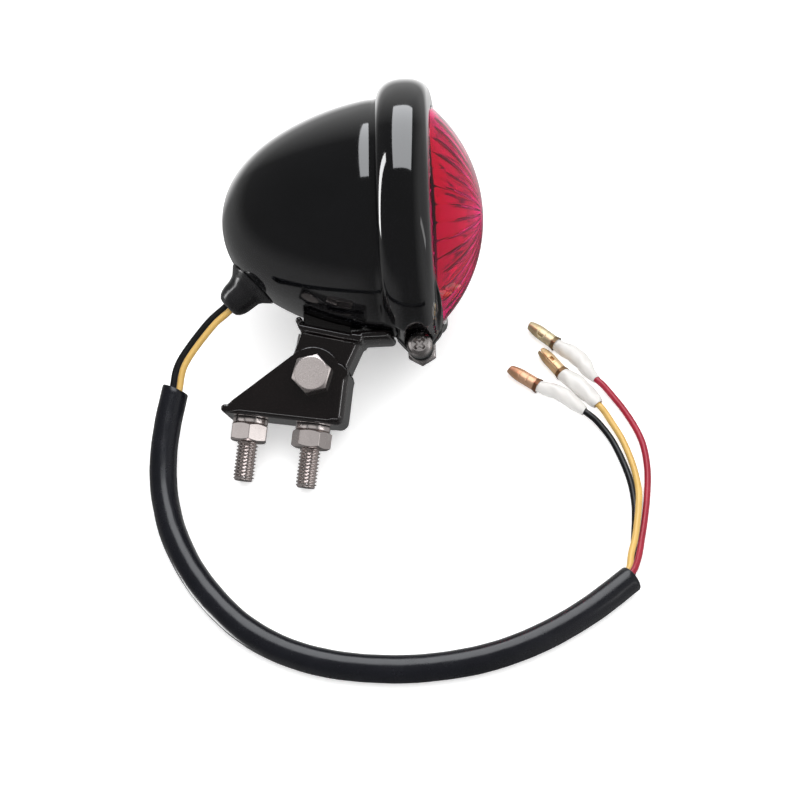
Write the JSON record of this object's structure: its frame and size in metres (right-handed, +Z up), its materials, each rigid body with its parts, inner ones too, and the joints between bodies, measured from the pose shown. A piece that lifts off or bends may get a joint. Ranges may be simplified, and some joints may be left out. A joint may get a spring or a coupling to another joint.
{
  "type": "motorcycle tail light",
  "caption": "Egg-shaped black tail lamp with a domed red lens, clamped bezel, tilting two-part bracket on threaded studs, and a sheathed wire lead with bullet plugs, lying on its side.",
  "frame": {"origin": "centre of the base of the lamp and bracket without the lead, lying on the surface it is shown on", "axes": "+Z up from the surface, +X the way the lens faces (4 degrees above level), +Y away from the side with the mounting studs, towards the lamp's top"},
  "size_m": [0.1424, 0.1701, 0.0789],
  "materials": {
    "black_shell": "gloss black enamel",
    "black_bracket": "gloss black powder coat",
    "zinc_steel": "bright zinc",
    "stainless": "turned stainless steel",
    "red_lens": "clear deep red acrylic",
    "black_rubber": "smooth",
    "silver_plastic": "metallised",
    "board_green": "solder mask",
    "led_clear": "clear epoxy",
    "resistor_tan": "lacquered",
    "wire_black": "soft PVC",
    "wire_yellow": "soft PVC",
    "wire_red": "soft PVC",
    "sheath_black": "gloss PVC tube",
    "sleeve_white": "milky soft PVC",
    "brass": "pressed brass"
  },
  "bodies": {
    "head": {"housing": "black_shell", "bezel": "black_shell", "clamp_screw": "zinc_steel", "clamp_nut": "zinc_steel", "lens": "red_lens", "lens_gasket": "black_rubber", "reflector": "silver_plastic", "led_board": "board_green", "leds": "led_clear", "resistors": "resistor_tan", "board_screws": "zinc_steel", "inner_leads": "wire_red", "bracket_pad": "black_rubber", "upper_bracket": "black_bracket", "saddle_screws": "zinc_steel", "saddle_nuts": "zinc_steel", "cable_boot": "black_rubber", "wire_black": "wire_black", "wire_yellow": "wire_yellow", "wire_red": "wire_red", "sheath": "sheath_black", "sleeve_black": "sleeve_white", "sleeve_yellow": "sleeve_white", "sleeve_red": "sleeve_white", "bullet_black": "brass", "bullet_yellow": "brass", "bullet_red": "brass"},
    "foot": {"foot_bracket": "black_bracket", "pivot_bolt": "stainless", "pivot_nut": "stainless", "mounting_bolts": "stainless", "mounting_washers": "stainless", "mounting_nuts": "stainless"}
  },
  "joints": [
    {"name": "tilt", "type": "hinge", "parent": "head", "child": "foot", "pos_m": [-0.01029, -0.02562, 0.01686], "axis": [0.0635, 0.4501, -0.8907], "range_deg": [-4, 30]}
  ]
}
